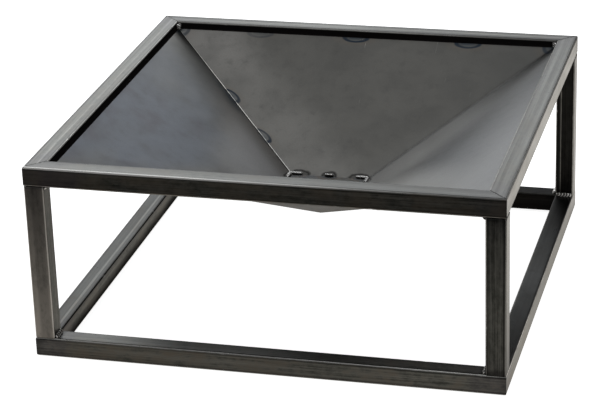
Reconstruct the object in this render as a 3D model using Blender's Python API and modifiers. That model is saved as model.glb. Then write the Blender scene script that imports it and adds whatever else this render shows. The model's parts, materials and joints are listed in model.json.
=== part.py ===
"""Square fire pit: a bowl of folded sheet steel welded into an open frame of square tube.

Run with: blender --background --python part.py
Units are metres and +Z is up. The origin is on the ground, under the middle of the frame,
and the front of the pit faces -Y.

A rail, post or bead is modelled once for one corner or side. Its copies are turned about the
pit's middle in quarter turns: front to right, right to back, back to left.
"""

import math

import bmesh
import bpy
from mathutils import Matrix, Vector

# The frame
SIDE = 0.700
HEIGHT = 0.300
TUBE = 0.030
TUBE_WALL = 0.002
TUBE_CORNER = 0.004
CORNER_STEPS = 3

# The bowl, an inverted pyramid of two folded sheets
SHEET = 0.002
RIM_DROP = 0.012
RIM_GAP = 0.0023
BOWL_DEPTH = 0.1775
SEAM_STEP = 0.001

# The floor plate that levels the bottom of the bowl
PLATE_SIDE = 0.120
PLATE_THICKNESS = 0.002

# Weld beads
JOINT_GAP = 0.0003
BEAD_RADIUS = 0.0025
CORNER_BEAD_RADIUS = 0.0018
POST_BEAD_INSET = 0.004
TACK_LENGTH = 0.025
STITCH_LENGTH = 0.022
STITCH_PLACES = (0.39, 0.61)
PLATE_TACK_LENGTH = 0.014
PLATE_CORNER_LEG = 0.018
BEAD_END = 0.55

# Worked out from the sizes above
RING_RADIUS = (SIDE - TUBE) / 2
INNER_HALF = SIDE / 2 - TUBE
POST_LENGTH = HEIGHT - 2 * TUBE - 2 * JOINT_GAP
RIM_HALF = INNER_HALF - RIM_GAP
RIM_Z = HEIGHT - RIM_DROP
APEX_Z = RIM_Z - BOWL_DEPTH
SLOPE = BOWL_DEPTH / RIM_HALF
STEEPNESS = math.hypot(1, SLOPE)
# The left and front panels lie one step lower, so the middle between all four is off by this much.
BOWL_SHIFT = SEAM_STEP / (2 * SLOPE)
BEAD_CLEARANCE = BEAD_RADIUS + JOINT_GAP
CORNER_BEAD_CLEARANCE = CORNER_BEAD_RADIUS + JOINT_GAP

SIDES = ("front", "right", "back", "left")
CORNERS = ("front_left", "front_right", "back_right", "back_left")


def clear_scene():
    for thing in list(bpy.data.objects):
        bpy.data.objects.remove(thing)


def steel(name, colour, roughness, metallic):
    material = bpy.data.materials.new(name)
    material.use_nodes = True
    shader = material.node_tree.nodes["Principled BSDF"]
    shader.inputs["Base Color"].default_value = (*colour, 1.0)
    shader.inputs["Roughness"].default_value = roughness
    shader.inputs["Metallic"].default_value = metallic
    return material


def place(name, data, material, location=(0, 0, 0), rotation=(0, 0, 0)):
    """Put one piece of the pit in its collection, with its material."""
    piece = bpy.data.objects.new(name, data)
    if not data.materials:
        data.materials.append(material)
    piece.location = location
    piece.rotation_euler = rotation
    bpy.data.collections["fire_pit"].objects.link(piece)
    return piece


def turned(point, quarter):
    """The point, carried a number of quarter turns about the pit's middle."""
    return Matrix.Rotation(quarter * math.pi / 2, 3, "Z") @ Vector(point)


# Square tube


def rounded_square(side, radius):
    """The points of a square outline with a quarter circle at each corner."""
    points = []
    centre = Vector((side / 2 - radius, side / 2 - radius, 0))
    for quarter in range(4):
        for step in range(CORNER_STEPS + 1):
            angle = math.pi / 2 * step / CORNER_STEPS
            offset = radius * Vector((math.cos(angle), math.sin(angle), 0))
            points.append(turned(centre + offset, quarter))
    return points


def tube_mesh(name, length):
    """A square tube along local Z, open at both ends, with its middle at the origin."""
    outline = bpy.data.curves.new(name, "CURVE")
    outline.dimensions = "2D"
    outline.fill_mode = "BOTH"
    outline.extrude = length / 2
    bore = TUBE - 2 * TUBE_WALL
    bore_corner = max(TUBE_CORNER - TUBE_WALL, TUBE_WALL / 4)
    for points in (rounded_square(TUBE, TUBE_CORNER), rounded_square(bore, bore_corner)):
        spline = outline.splines.new("POLY")
        spline.points.add(len(points) - 1)
        for spot, point in zip(spline.points, points):
            spot.co = (*point, 1.0)
        spline.use_cyclic_u = True
    guide = bpy.data.objects.new(name, outline)
    bpy.context.scene.collection.objects.link(guide)
    graph = bpy.context.evaluated_depsgraph_get()
    mesh = bpy.data.meshes.new_from_object(guide.evaluated_get(graph))
    bpy.data.objects.remove(guide)
    shape = bmesh.new()
    shape.from_mesh(mesh)
    bmesh.ops.remove_doubles(shape, verts=shape.verts, dist=TUBE_WALL / 100)
    shape.to_mesh(mesh)
    shape.free()
    return mesh


def mitred(mesh):
    """Cut both ends at 45 degrees: each end point slides by its own distance from the outer face.

    Local +Y points to the inside of the ring.
    """
    cut_back = JOINT_GAP / math.sqrt(2)
    for vertex in mesh.vertices:
        inwards = vertex.co.y + TUBE / 2
        end = SIDE / 2 - cut_back - inwards
        vertex.co.z = math.copysign(end, vertex.co.z)
    return mesh


def build_frame(material):
    rail = mitred(tube_mesh("mitred_rail", SIDE))
    for ring, middle in (("base", TUBE / 2), ("top", HEIGHT - TUBE / 2)):
        for quarter, side in enumerate(SIDES):
            location = turned((0, -RING_RADIUS, middle), quarter)
            rotation = (0, math.pi / 2, quarter * math.pi / 2)
            place(f"{ring}_rail_{side}", rail, material, location, rotation)
    post = tube_mesh("post", POST_LENGTH)
    for quarter, corner in enumerate(CORNERS):
        location = turned((-RING_RADIUS, -RING_RADIUS, HEIGHT / 2), quarter)
        place(f"post_{corner}", post, material, location)


# Sheet metal


def folded_sheet(name, material, quarter, drop):
    """Two panels of the pyramid in one piece, folded along the edge between them.

    The bare shape has its fold towards +X +Y. It is cut along the upright plane that holds both
    seams, half a gap short of it, and gets its thickness on its under side.
    """
    shape = bmesh.new()
    bmesh.ops.create_cone(
        shape,
        cap_ends=False,
        segments=4,
        radius1=0.0,
        radius2=RIM_HALF * math.sqrt(2),
        depth=BOWL_DEPTH,
        matrix=Matrix.Translation((0, 0, BOWL_DEPTH / 2)) @ Matrix.Rotation(math.pi / 4, 4, "Z"),
    )
    bmesh.ops.remove_doubles(shape, verts=shape.verts, dist=SHEET / 100)
    across = Vector((1, 1, 0)).normalized()
    bmesh.ops.bisect_plane(
        shape,
        geom=shape.verts[:] + shape.edges[:] + shape.faces[:],
        plane_co=across * JOINT_GAP / 2,
        plane_no=across,
        clear_inner=True,
    )
    bmesh.ops.recalc_face_normals(shape, faces=shape.faces)
    shape.faces.ensure_lookup_table()
    if shape.faces[0].normal.z < 0:
        bmesh.ops.reverse_faces(shape, faces=shape.faces)
    mesh = bpy.data.meshes.new(name)
    shape.to_mesh(mesh)
    shape.free()
    location = (0, 0, APEX_Z - drop)
    piece = place(name, mesh, material, location, (0, 0, quarter * math.pi / 2))
    wall = piece.modifiers.new("sheet thickness", "SOLIDIFY")
    wall.thickness = SHEET
    wall.offset = -1
    wall.use_even_offset = True


def build_bowl(material):
    folded_sheet("bowl_sheet_back_right", material, quarter=0, drop=0.0)
    folded_sheet("bowl_sheet_front_left", material, quarter=2, drop=SEAM_STEP)


def panel_z(reach):
    """Height of the panels at a distance from the middle of the bowl."""
    return APEX_Z - SEAM_STEP / 2 + SLOPE * reach


def build_plate(material):
    """A square plate whose lower edges rest on the four panels."""
    shape = bmesh.new()
    size = Matrix.Diagonal((PLATE_SIDE, PLATE_SIDE, PLATE_THICKNESS, 1))
    bmesh.ops.create_cube(shape, size=1.0, matrix=size)
    mesh = bpy.data.meshes.new("floor_plate")
    shape.to_mesh(mesh)
    shape.free()
    under_side = panel_z(PLATE_SIDE / 2) + JOINT_GAP * STEEPNESS
    location = (-BOWL_SHIFT, -BOWL_SHIFT, under_side + PLATE_THICKNESS / 2)
    place("floor_plate", mesh, material, location)


# Weld beads


def bead(name, material, path, radius):
    """A run of weld metal: a round bar along the path, thinner at its two ends."""
    run = bpy.data.curves.new(name, "CURVE")
    run.dimensions = "3D"
    run.bevel_depth = radius
    run.bevel_resolution = 2
    run.use_fill_caps = True
    spline = run.splines.new("POLY")
    spline.points.add(len(path) - 1)
    for spot, point in zip(spline.points, path):
        spot.co = (*point, 1.0)
    spline.points[0].radius = BEAD_END
    spline.points[-1].radius = BEAD_END
    place(name, run, material)


def straight(middle, direction, length, radius):
    """Four points along a straight bead: it swells to full size one radius in from each end."""
    middle = Vector(middle)
    along = Vector(direction).normalized()
    half = length / 2
    return [middle + along * reach for reach in (-half, radius - half, half - radius, half)]


def build_post_beads(material):
    """Two beads at each end of each post, where its inner faces meet the rails."""
    across = RING_RADIUS
    face = INNER_HALF - BEAD_CLEARANCE
    length = TUBE - 2 * POST_BEAD_INSET
    heights = {"foot": TUBE + BEAD_CLEARANCE, "head": HEIGHT - TUBE - BEAD_CLEARANCE}
    for quarter, corner in enumerate(CORNERS):
        this_rail = SIDES[quarter]
        last_rail = SIDES[quarter - 1]
        for end, height in heights.items():
            on_this = straight((-face, -across, height), (0, 1, 0), length, BEAD_RADIUS)
            on_last = straight((-across, -face, height), (1, 0, 0), length, BEAD_RADIUS)
            for rail, path in ((this_rail, on_this), (last_rail, on_last)):
                name = f"weld_post_{end}_{corner}_on_{rail}_rail"
                bead(name, material, [turned(point, quarter) for point in path], BEAD_RADIUS)


def build_ring_beads(material):
    """An upright bead in each inner corner of the top ring, above the rim of the bowl."""
    reach = INNER_HALF - CORNER_BEAD_CLEARANCE
    low = RIM_Z + JOINT_GAP
    high = HEIGHT - TUBE_CORNER
    for quarter, corner in enumerate(CORNERS):
        middle = turned((-reach, -reach, (low + high) / 2), quarter)
        path = straight(middle, (0, 0, 1), high - low, CORNER_BEAD_RADIUS)
        bead(f"weld_ring_{corner}", material, path, CORNER_BEAD_RADIUS)


def build_rim_tacks(material):
    """Three tacks to a side, under the rim, in the angle between the sheet and the rail."""
    reach = INNER_HALF - BEAD_CLEARANCE
    under_sheet = (SHEET + BEAD_CLEARANCE) * STEEPNESS
    drops = {"front": SEAM_STEP, "right": 0.0, "back": 0.0, "left": SEAM_STEP}
    for quarter, side in enumerate(SIDES):
        height = APEX_Z - drops[side] + SLOPE * reach - under_sheet
        for place_number in (-1, 0, 1):
            middle = turned((place_number * SIDE / 4, -reach, height), quarter)
            path = straight(middle, turned((1, 0, 0), quarter), TACK_LENGTH, BEAD_RADIUS)
            bead(f"weld_rim_{side}_{place_number + 2}", material, path, BEAD_RADIUS)


def build_seam_stitches(material):
    """Stitches on the under side of the two seams, at shares of the way from rim to apex."""
    uphill = Vector((-RIM_HALF, RIM_HALF, BOWL_DEPTH))
    outwards = Vector((-SLOPE, SLOPE, -2)).normalized()
    sheet_depth = SHEET * STEEPNESS / math.hypot(1, SLOPE / math.sqrt(2))
    depth = sheet_depth + SEAM_STEP + BEAD_CLEARANCE
    for quarter, corner in ((0, "back_left"), (2, "front_right")):
        for number, share in enumerate(STITCH_PLACES, start=1):
            middle = Vector((0, 0, APEX_Z)) + uphill * (1 - share) + outwards * depth
            path = straight(middle, uphill, STITCH_LENGTH, BEAD_RADIUS)
            path = [turned(point, quarter) for point in path]
            bead(f"weld_seam_{corner}_{number}", material, path, BEAD_RADIUS)


def build_plate_beads(material):
    """Beads around the floor plate: one at each corner and one in the middle of each side."""
    reach = PLATE_SIDE / 2 + BEAD_CLEARANCE
    height = panel_z(reach) + BEAD_CLEARANCE * STEEPNESS
    shift = Vector((-BOWL_SHIFT, -BOWL_SHIFT, 0))
    start = reach - PLATE_CORNER_LEG
    corner_path = [
        Vector((-start, -reach, height)),
        Vector((-start - BEAD_RADIUS, -reach, height)),
        Vector((-reach + BEAD_RADIUS, -reach, height)),
        Vector((-reach, -reach + BEAD_RADIUS, height)),
        Vector((-reach, -start - BEAD_RADIUS, height)),
        Vector((-reach, -start, height)),
    ]
    side_path = straight((0, -reach, height), (1, 0, 0), PLATE_TACK_LENGTH, BEAD_RADIUS)
    for quarter, (side, corner) in enumerate(zip(SIDES, CORNERS)):
        for name, path in ((corner, corner_path), (side, side_path)):
            path = [turned(point, quarter) + shift for point in path]
            bead(f"weld_plate_{name}", material, path, BEAD_RADIUS)


def main():
    clear_scene()
    model = bpy.data.collections.new("fire_pit")
    bpy.context.scene.collection.children.link(model)
    frame_steel = steel("frame_steel", (0.12, 0.115, 0.11), 0.42, 0.85)
    bowl_steel = steel("bowl_steel", (0.10, 0.10, 0.105), 0.38, 0.85)
    plate_steel = steel("plate_steel", (0.09, 0.09, 0.095), 0.40, 0.85)
    weld_metal = steel("weld_metal", (0.16, 0.15, 0.15), 0.35, 0.95)
    build_frame(frame_steel)
    build_bowl(bowl_steel)
    build_plate(plate_steel)
    build_post_beads(weld_metal)
    build_ring_beads(weld_metal)
    build_rim_tacks(weld_metal)
    build_seam_stitches(weld_metal)
    build_plate_beads(weld_metal)


main()
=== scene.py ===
"""The surfaces of a square fire pit: raw steel tube, a bowl of folded sheet, and its weld beads.

Every piece is a closed surface worked out as whole arrays from two parameters, and stands for the
CAD node of the same place. Metres, +Z up, with the front of the pit towards -Y.
"""

import json
import math

import bpy
import numpy as np
from mathutils import Euler, Matrix, Vector

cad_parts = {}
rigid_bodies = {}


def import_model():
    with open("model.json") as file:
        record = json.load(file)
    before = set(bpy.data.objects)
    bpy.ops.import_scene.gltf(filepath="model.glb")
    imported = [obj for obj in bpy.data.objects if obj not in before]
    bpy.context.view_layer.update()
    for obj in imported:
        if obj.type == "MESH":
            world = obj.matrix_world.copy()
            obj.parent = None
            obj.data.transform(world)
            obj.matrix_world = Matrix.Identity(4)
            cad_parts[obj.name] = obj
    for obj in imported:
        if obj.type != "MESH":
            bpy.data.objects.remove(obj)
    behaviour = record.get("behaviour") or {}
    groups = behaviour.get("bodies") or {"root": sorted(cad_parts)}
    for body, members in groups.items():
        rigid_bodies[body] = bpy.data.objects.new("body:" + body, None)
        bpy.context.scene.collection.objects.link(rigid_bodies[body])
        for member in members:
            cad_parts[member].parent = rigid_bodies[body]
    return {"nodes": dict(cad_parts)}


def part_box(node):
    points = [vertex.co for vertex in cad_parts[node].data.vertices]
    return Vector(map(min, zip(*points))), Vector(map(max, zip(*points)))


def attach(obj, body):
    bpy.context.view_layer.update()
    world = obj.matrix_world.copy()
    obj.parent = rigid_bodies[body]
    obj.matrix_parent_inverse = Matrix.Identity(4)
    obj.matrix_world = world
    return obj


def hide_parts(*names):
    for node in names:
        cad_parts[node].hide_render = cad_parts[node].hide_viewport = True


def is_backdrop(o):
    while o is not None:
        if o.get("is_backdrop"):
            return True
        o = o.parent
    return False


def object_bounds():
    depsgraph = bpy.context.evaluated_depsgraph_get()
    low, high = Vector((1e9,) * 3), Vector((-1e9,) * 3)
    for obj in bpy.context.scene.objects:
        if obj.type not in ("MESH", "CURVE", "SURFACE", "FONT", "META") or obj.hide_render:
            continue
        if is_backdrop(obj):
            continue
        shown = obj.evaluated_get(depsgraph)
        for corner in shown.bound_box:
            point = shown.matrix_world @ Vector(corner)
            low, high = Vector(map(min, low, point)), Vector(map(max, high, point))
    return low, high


bl_info = {
    "name": "Square Fire Pit",
    "version": (1, 0, 0),
    "blender": (4, 5, 0),
    "location": "3D View > Sidebar > Fire Pit",
    "description": "Raw steel surfaces, folds and weld beads for a square fire pit",
    "category": "Add Mesh",
}

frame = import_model()
CAD_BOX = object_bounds()


def node_points(node):
    """The corner points of a CAD node, one row each."""
    mesh = frame["nodes"][node].data
    points = np.empty(len(mesh.vertices) * 3, np.float32)
    mesh.vertices.foreach_get("co", points)
    return points.reshape(-1, 3).astype(float)


def levels_of(points):
    """The different heights at which a node has corners, lowest first."""
    return np.unique(np.round(points[:, 2], 5))


# Sizes read from the frame
SIDE = CAD_BOX[1].x - CAD_BOX[0].x
HEIGHT = CAD_BOX[1].z
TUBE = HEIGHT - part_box("top_rail_front")[0].z
SHEET_POINTS = node_points("bowl_sheet_back_right")
SHEET_LEVELS = levels_of(SHEET_POINTS)
RIM_Z = SHEET_LEVELS[-1]
CAD_RIM_HALF = SHEET_POINTS[SHEET_POINTS[:, 2] > RIM_Z - 1e-4][:, 0].max()
APEX_Z = SHEET_LEVELS[1]
SEAM_STEP = RIM_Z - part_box("bowl_sheet_front_left")[1].z
SLOPE = (RIM_Z - APEX_Z) / CAD_RIM_HALF
STEEPNESS = math.hypot(1, SLOPE)
PLATE_LOW, PLATE_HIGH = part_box("floor_plate")
PLATE_HALF = (PLATE_HIGH.x - PLATE_LOW.x) / 2
PLATE_MIDDLE = (PLATE_LOW + PLATE_HIGH) / 2
RIM_HALF = CAD_RIM_HALF - 0.0002

SIDES = ("front", "right", "back", "left")
CORNERS = ("front_left", "front_right", "back_right", "back_left")


# Properties


class FirePitSizes(bpy.types.PropertyGroup):
    """Sizes of the details that the frame leaves open."""

    tube_corner: bpy.props.FloatProperty(
        name="Tube corner",
        description="Outer radius of the tube's corners",
        default=0.0032,
        unit="LENGTH",
    )
    joint_groove: bpy.props.FloatProperty(
        name="Joint groove",
        description="How far the tube's cut edges are broken back at a joint",
        default=0.00003,
        unit="LENGTH",
    )
    tube_hollow: bpy.props.FloatProperty(
        name="Tube hollow",
        description="How far the flats of the tube sink in between its corners",
        default=0.00015,
        unit="LENGTH",
    )
    nick_depth: bpy.props.FloatProperty(
        name="Nick depth",
        description="Depth of the deepest nicks in the tube's edges",
        default=0.0004,
        unit="LENGTH",
    )
    sheet: bpy.props.FloatProperty(
        name="Sheet",
        description="Thickness of the bowl's sheets",
        default=0.002,
        unit="LENGTH",
    )
    fold_radius: bpy.props.FloatProperty(
        name="Fold radius",
        description="Inside radius of the bowl's folds",
        default=0.010,
        unit="LENGTH",
    )
    seam_step: bpy.props.FloatProperty(
        name="Seam step",
        description="How far one sheet's edge stands over the other at a seam",
        default=SEAM_STEP * 0.45,
        unit="LENGTH",
    )
    panel_wave: bpy.props.FloatProperty(
        name="Panel wave",
        description="How far the bowl's panels bulge and sink",
        default=0.0003,
        unit="LENGTH",
    )
    ripple_pitch: bpy.props.FloatProperty(
        name="Ripple pitch",
        description="Distance between the ripples of a weld bead",
        default=0.0025,
        unit="LENGTH",
    )


class FirePitColours(bpy.types.PropertyGroup):
    """Colours of the steel and of its heat marks."""

    # Bare steel at nicks, scratches and cut edges; also the painted highlight along the tube's corners and a
    # painted sheen on the right panel by its fold.
    bare: bpy.props.FloatVectorProperty(
        name="Bare steel",
        description="Steel worn bright at the edges",
        subtype="COLOR",
        default=(0.56, 0.55, 0.53),
    )
    tube_light: bpy.props.FloatVectorProperty(
        name="Tube, light",
        description="Light streaks of the tube's scale",
        subtype="COLOR",
        default=(0.152, 0.152, 0.141),
    )
    tube_dark: bpy.props.FloatVectorProperty(
        name="Tube, dark",
        description="Dark streaks of the tube's scale",
        subtype="COLOR",
        default=(0.043, 0.044, 0.039),
    )
    tube_brown: bpy.props.FloatVectorProperty(
        name="Tube, brown",
        description="Brown clouds of the tube's scale",
        subtype="COLOR",
        default=(0.100, 0.084, 0.066),
    )
    temper_violet: bpy.props.FloatVectorProperty(
        name="Temper violet",
        description="Violet tint of the tube beside a joint",
        subtype="COLOR",
        default=(0.062, 0.054, 0.070),
    )
    # Painted light: a lighter colour laid on the left posts' front faces and on the left panel beside the seam.
    painted_light: bpy.props.FloatVectorProperty(
        name="Worn tube",
        description="Where the tube's scale has worn thin",
        subtype="COLOR",
        default=(0.200, 0.186, 0.172),
    )
    scale_blue: bpy.props.FloatVectorProperty(
        name="Blue scale",
        description="Blue-grey scale of the sheet",
        subtype="COLOR",
        default=(0.084, 0.095, 0.117),
    )
    scale_brown: bpy.props.FloatVectorProperty(
        name="Brown scale",
        description="Warm grey scale of the sheet",
        subtype="COLOR",
        default=(0.098, 0.095, 0.088),
    )
    # Lighter scale in smears under the bowl; also painted light on the lower side panels, across the right panel
    # and along its fold.
    light_scale_and_painted_light: bpy.props.FloatVectorProperty(
        name="Light scale",
        description="Where the scale has flaked along a fold",
        subtype="COLOR",
        default=(0.200, 0.202, 0.205),
    )
    scale_warm: bpy.props.FloatVectorProperty(
        name="Warm scale",
        description="Warm light scale of the back panel beside its seam",
        subtype="COLOR",
        default=(0.195, 0.188, 0.178),
    )
    # Painted sheen on the right panel near its rim and on the left panel beside the seam.
    painted_sheen: bpy.props.FloatVectorProperty(
        name="Scale sheen",
        description="Thin shiny scale beside the right rim",
        subtype="COLOR",
        default=(0.310, 0.310, 0.315),
    )
    # Dark clouds, mottles and grain of the scale; also the painted shade at the back panel's right end.
    dark_scale_and_painted_shade: bpy.props.FloatVectorProperty(
        name="Dark scale",
        description="Darkest clouds of the sheet's scale",
        subtype="COLOR",
        default=(0.056, 0.056, 0.054),
    )
    temper_blue: bpy.props.FloatVectorProperty(
        name="Temper blue",
        description="Blue ring round a weld",
        subtype="COLOR",
        default=(0.016, 0.026, 0.040),
    )
    temper_straw: bpy.props.FloatVectorProperty(
        name="Temper straw",
        description="Straw-brown ring outside the blue one",
        subtype="COLOR",
        default=(0.115, 0.085, 0.060),
    )
    temper_pale: bpy.props.FloatVectorProperty(
        name="Temper pale",
        description="Pale blue-grey in the middle of a heat mark",
        subtype="COLOR",
        default=(0.060, 0.076, 0.088),
    )
    # Burnt scale beside the welds; also painted shade: the line beside each tube corner, the back right post,
    # the rings' inner faces and the lower sheet beside the seam.
    soot_and_painted_shade: bpy.props.FloatVectorProperty(
        name="Soot",
        description="Burnt scale beside a weld",
        subtype="COLOR",
        default=(0.010, 0.009, 0.009),
    )
    weld_dark: bpy.props.FloatVectorProperty(
        name="Weld, dark",
        description="Oxide in the troughs of a bead",
        subtype="COLOR",
        default=(0.100, 0.098, 0.098),
    )
    # Bare metal on the weld crests; also the painted highlight along the front rail's top edge and the seam's
    # cut edge.
    weld_bright_and_highlight: bpy.props.FloatVectorProperty(
        name="Weld, bright",
        description="Bare metal on the crests of a bead",
        subtype="COLOR",
        default=(0.80, 0.79, 0.77),
    )
    rust: bpy.props.FloatVectorProperty(
        name="Rust",
        description="Pin-points of rust",
        subtype="COLOR",
        default=(0.16, 0.055, 0.022),
    )
    floor: bpy.props.FloatVectorProperty(
        name="Floor",
        description="Pale floor under the pit",
        subtype="COLOR",
        default=(0.86, 0.86, 0.86),
    )


class FirePitView(bpy.types.PropertyGroup):
    """Where the camera stands."""

    azimuth: bpy.props.FloatProperty(
        name="Azimuth",
        description="Turn of the camera round the pit, towards +X",
        subtype="ANGLE",
        default=math.radians(14.842),
    )
    elevation: bpy.props.FloatProperty(
        name="Elevation",
        description="Height of the camera as an angle over the horizon",
        subtype="ANGLE",
        default=math.radians(22.768),
    )
    roll: bpy.props.FloatProperty(
        name="Roll",
        description="Tilt of the camera about its own axis",
        subtype="ANGLE",
        default=math.radians(-1.921),
    )
    distance: bpy.props.FloatProperty(
        name="Distance",
        description="From the camera to the point it aims at",
        default=3.6526,
        unit="LENGTH",
    )
    aim: bpy.props.FloatVectorProperty(
        name="Aim",
        description="The point that the camera aims at",
        subtype="TRANSLATION",
        default=(-0.0333, 0.0, 0.1188),
    )
    lens: bpy.props.FloatProperty(
        name="Lens",
        description="Focal length in millimetres, for a sensor 36 mm wide",
        default=140.58,
    )


# Meshes


def grid_quads(rows, columns, ring=False):
    """Quads between neighbouring points of a grid; a ring also joins the last column to the first."""
    index = np.arange(rows * columns).reshape(rows, columns)
    if ring:
        index = np.hstack([index, index[:, :1]])
    corners = (index[:-1, :-1], index[1:, :-1], index[1:, 1:], index[:-1, 1:])
    return np.stack(corners, axis=-1).reshape(-1, 4)


def welded_mesh(name, points, quads, attributes=None):
    """A smooth mesh of the points and quads, in which points in one place are one.

    Each attribute is an array with a number, or three, for each point. Quads that shrink to a
    triangle at a pole become one, and those that shrink to a line go.
    """
    flat = points.reshape(-1, 3)
    places = np.round(flat / 1e-6).astype(np.int64)
    _, first, same = np.unique(places, axis=0, return_index=True, return_inverse=True)
    quads = same.reshape(-1)[quads]
    is_new = quads != np.roll(quads, 1, axis=1)
    count = is_new.sum(axis=1)
    keep = count > 2
    quads, is_new, count = quads[keep], is_new[keep], count[keep]
    mesh = bpy.data.meshes.new(name)
    mesh.vertices.add(len(first))
    mesh.vertices.foreach_set("co", flat[first].astype(np.float32).ravel())
    mesh.loops.add(int(count.sum()))
    mesh.loops.foreach_set("vertex_index", quads[is_new].astype(np.int32))
    mesh.polygons.add(len(count))
    starts = np.concatenate([[0], np.cumsum(count)[:-1]])
    mesh.polygons.foreach_set("loop_start", starts.astype(np.int32))
    mesh.update(calc_edges=True)
    for key, values in (attributes or {}).items():
        if values.size == len(flat):
            layer = mesh.attributes.new(key, "FLOAT", "POINT")
            layer.data.foreach_set("value", values.reshape(-1)[first].astype(np.float32))
        else:
            layer = mesh.attributes.new(key, "FLOAT_VECTOR", "POINT")
            layer.data.foreach_set("vector", values.reshape(-1, 3)[first].astype(np.float32).ravel())
    mesh.polygons.foreach_set("use_smooth", np.ones(len(count), bool))
    mesh.validate()
    return mesh


def add_piece(name, mesh, material, node):
    """Show a finished mesh in place of one CAD node."""
    piece = bpy.data.objects.new(name, mesh)
    bpy.context.scene.collection.objects.link(piece)
    mesh.materials.append(material)
    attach(piece, "root")
    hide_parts(node)
    return piece


def break_edges(piece, width):
    """Take the sharpness off a sheet's cut edges, and keep its faces flat beside them."""
    edge = piece.modifiers.new("broken edge", "BEVEL")
    edge.width = width
    edge.segments = 2
    edge.limit_method = "ANGLE"
    edge.angle_limit = math.radians(50)
    edge.harden_normals = True


def quarter_turns(points, count):
    """The points, turned about the pit's middle by a number of quarter turns."""
    turn = np.array(Matrix.Rotation(count * math.pi / 2, 3, "Z"))
    return points @ turn.T


def waves(seed, *coordinates, scale=1.0, terms=5):
    """A smooth uneven field from -1 to 1: a sum of sines of the coordinates with seeded phases."""
    rng = np.random.default_rng(seed)
    total = 0.0
    for term in range(terms):
        turns = rng.normal(size=len(coordinates)) * (1 + term * 0.6) / scale
        phase = rng.uniform(0, 2 * math.pi)
        angle = phase + sum(turn * value for turn, value in zip(turns, coordinates))
        total = total + np.sin(angle) / (1 + term)
    return total / sum(1 / (1 + term) for term in range(terms))


# Square tube

# Half a tube's width, a hair under the frame's so that no face reaches over it.
TUBE_REACH = TUBE / 2 - 0.00002
FLAT_STEPS = 6
ARC_STEPS = 10
ROW_STEP = 0.0025
NICKS_PER_METRE = 16


def tube_profile(corner):
    """The tube's outline as two coordinates, and how much each point belongs to a corner.

    One quarter is a flat from the middle of a side to the corner, then a quarter circle, then a
    flat; it is repeated in quarter turns.
    """
    reach = TUBE_REACH
    flat = (reach - corner) * np.sin(np.linspace(0, math.pi / 2, FLAT_STEPS, endpoint=False))
    angle = np.linspace(0, math.pi / 2, ARC_STEPS + 1)
    first = np.stack([np.full_like(flat, reach), flat], axis=1)
    arc = (reach - corner) + corner * np.stack([np.cos(angle), np.sin(angle)], axis=1)
    last = first[:0:-1, ::-1]
    quarter = np.vstack([first, arc, last])
    on_arc = np.concatenate([np.zeros(len(first)), np.sin(2 * angle), np.zeros(len(last))])
    turns = []
    for count in range(4):
        angle = count * math.pi / 2
        turn = np.array([[math.cos(angle), -math.sin(angle)], [math.sin(angle), math.cos(angle)]])
        turns.append(quarter @ turn.T)
    return np.vstack(turns), np.tile(on_arc, 4)


def tube_surface(length, sizes, seed, mitred):
    """A tube along X about its own middle, as points and attributes for its finish.

    The outline is carried from end to end. At an end it first shrinks by the groove, then to a
    point that closes it. A mitred end slides back by each point's distance from the outer face,
    which is the one towards -Y. Each flat is hollow by one less the square of the place across
    it, and nicks press the corners in by bell curves of the place along.
    """
    outline, edge = tube_profile(sizes.tube_corner)
    rows = int(length / ROW_STEP)
    groove = sizes.joint_groove
    inner_end = 1 - 2 * groove / length
    body = np.linspace(-inner_end, inner_end, rows)
    share = np.concatenate([[-1, -1, -1], body, [1, 1, 1]])
    reach = TUBE_REACH
    rim = 1 - groove / reach
    size = np.concatenate([[0, rim / 2, rim], np.ones(rows), [rim, rim / 2, 0]])[:, None]
    across = outline[None, :, 0] * size
    upward = outline[None, :, 1] * size
    inwards = across + reach if mitred else np.zeros_like(across)
    along = share[:, None] * (length / 2 - inwards)
    from_corner = reach - np.broadcast_to(abs(outline).min(axis=1), along.shape)
    middle = (reach - from_corner) / (reach - sizes.tube_corner)
    sink = sizes.tube_hollow * np.clip(1 - middle**2, 0, 1)
    rng = np.random.default_rng(seed)
    count = int(length * NICKS_PER_METRE)
    places = rng.uniform(-length / 2, length / 2, count)
    which = rng.integers(0, 4, count)
    depth = sizes.nick_depth * rng.uniform(0.25, 1, count) ** 2
    width = rng.uniform(0.0012, 0.0035, count)
    corner_number = np.round((np.arctan2(upward, across) / (math.pi / 2)) - 0.5).astype(int) % 4
    near = np.exp(-(((along[..., None] - places) / width) ** 2))
    nick = (near * depth * (corner_number[..., None] == which)).max(axis=-1) * edge
    radius = np.hypot(across, upward) + 1e-9
    shrink = 1 - (sink + nick) * (size > 0.99) / radius
    points = np.stack([along, across * shrink, upward * shrink], axis=-1)
    attributes = {
        "tube_place": np.stack([along + seed * 1.7, across, upward], axis=-1),
        "from_corner": from_corner,
        "to_end": length / 2 - inwards - abs(along),
        "nicked": np.clip(nick / sizes.nick_depth, 0, 1),
        "inner_face": np.clip((across - reach * 0.9) / (reach * 0.08), 0, 1),
    }
    return points, attributes


def tube_mesh(name, sizes, seed, length, place, mitred):
    """The tube's surface put in its place by a function of its points."""
    points, attributes = tube_surface(length, sizes, seed, mitred)
    quads = grid_quads(*points.shape[:2], ring=True)
    return welded_mesh(name, place(points), quads, attributes)


def rail_place(quarter, middle_z):
    """Puts a tube on one side of a ring: its outer face out, a number of quarter turns round."""
    offset = np.array([0, -(SIDE - TUBE) / 2, middle_z])
    return lambda points: quarter_turns(points + offset, quarter)


def post_place(quarter):
    """Stands a tube up at one corner, halfway up the pit."""
    upright = np.array(Matrix.Rotation(-math.pi / 2, 3, "Y"))
    offset = np.array([-(SIDE - TUBE) / 2, -(SIDE - TUBE) / 2, HEIGHT / 2])
    return lambda points: quarter_turns(points @ upright.T + offset, quarter)


# Sheet metal

PANEL_ROWS = 72
PANEL_COLUMNS = 161


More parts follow.
